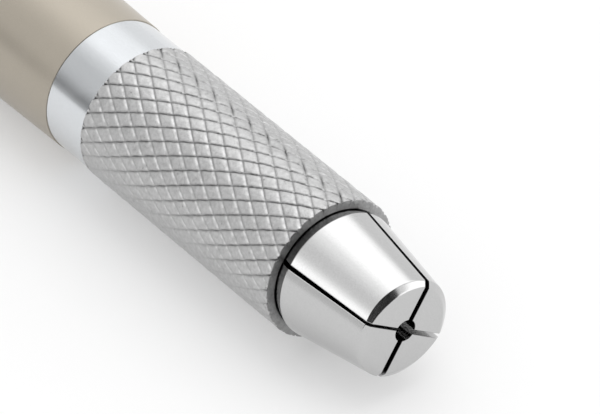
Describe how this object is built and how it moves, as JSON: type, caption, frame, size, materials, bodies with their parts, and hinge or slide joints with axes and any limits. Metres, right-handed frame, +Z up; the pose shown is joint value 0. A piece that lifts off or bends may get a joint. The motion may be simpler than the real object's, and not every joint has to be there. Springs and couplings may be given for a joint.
{
  "type": "clutch pencil",
  "caption": "Clutch-type mechanical pencil: slit collet nose drawn back into a knurled metal grip, plain round barrel, and a button at the back that opens the jaws.",
  "frame": {"origin": "under the middle of the pencil's length, on the surface that it lies on", "axes": "+X along the pencil towards its nose, +Z up"},
  "size_m": [0.136, 0.0106, 0.0106],
  "materials": {
    "collet": "polished",
    "grip": "satin, diamond knurled",
    "bright_ring": "polished",
    "barrel": "satin, champagne anodised",
    "button": "satin",
    "brass": "turned",
    "steel": "plain",
    "rubber": "matte"
  },
  "bodies": {
    "body": {"grip_sleeve": "grip", "trim_ring": "bright_ring", "ring_seal": "rubber", "joiner": "brass", "guide_bush": "brass", "spring_washer": "steel", "return_spring": "steel", "barrel_tube": "barrel", "rear_bush": "brass", "end_collar": "bright_ring"},
    "plunger": {"collet_stem": "collet", "lead_tube": "brass", "spring_collar": "brass", "snap_ring": "steel"},
    "jaw_1": {"collet_jaw_1": "collet"},
    "jaw_2": {"collet_jaw_2": "collet"},
    "jaw_3": {"collet_jaw_3": "collet"},
    "jaw_4": {"collet_jaw_4": "collet"},
    "button": {"push_button": "button", "button_insert": "brass", "button_friction_ring": "rubber"}
  },
  "joints": [
    {"name": "button_press", "type": "slide", "parent": "body", "child": "plunger", "axis": [1, 0, 0], "range_m": [0, 0.003], "stiffness_N_per_m": 300, "springref_m": -0.012, "deforming": ["return_spring"]},
    {"name": "jaw_1_open", "type": "hinge", "parent": "plunger", "child": "jaw_1", "pos_m": [0.04202, 0.00254, 0.00584], "axis": [0, -0.2079, 0.9781], "range_deg": [0, 1]},
    {"name": "jaw_2_open", "type": "hinge", "parent": "plunger", "child": "jaw_2", "pos_m": [0.04202, 0.00054, 0.00276], "axis": [0, 0.9781, 0.2079], "range_deg": [0, 1]},
    {"name": "jaw_3_open", "type": "hinge", "parent": "plunger", "child": "jaw_3", "pos_m": [0.04202, -0.00254, 0.00476], "axis": [0, 0.2079, -0.9781], "range_deg": [0, 1]},
    {"name": "jaw_4_open", "type": "hinge", "parent": "plunger", "child": "jaw_4", "pos_m": [0.04202, -0.00054, 0.00784], "axis": [0, -0.9781, -0.2079], "range_deg": [0, 1]},
    {"name": "button_pull", "type": "slide", "parent": "plunger", "child": "button", "axis": [-1, 0, 0], "range_m": [0, 0.015]}
  ],
  "couplings": [
    {"joint": "jaw_1_open", "follows": "button_press", "rad_per_m": 5.817},
    {"joint": "jaw_2_open", "follows": "button_press", "rad_per_m": 5.817},
    {"joint": "jaw_3_open", "follows": "button_press", "rad_per_m": 5.817},
    {"joint": "jaw_4_open", "follows": "button_press", "rad_per_m": 5.817}
  ]
}
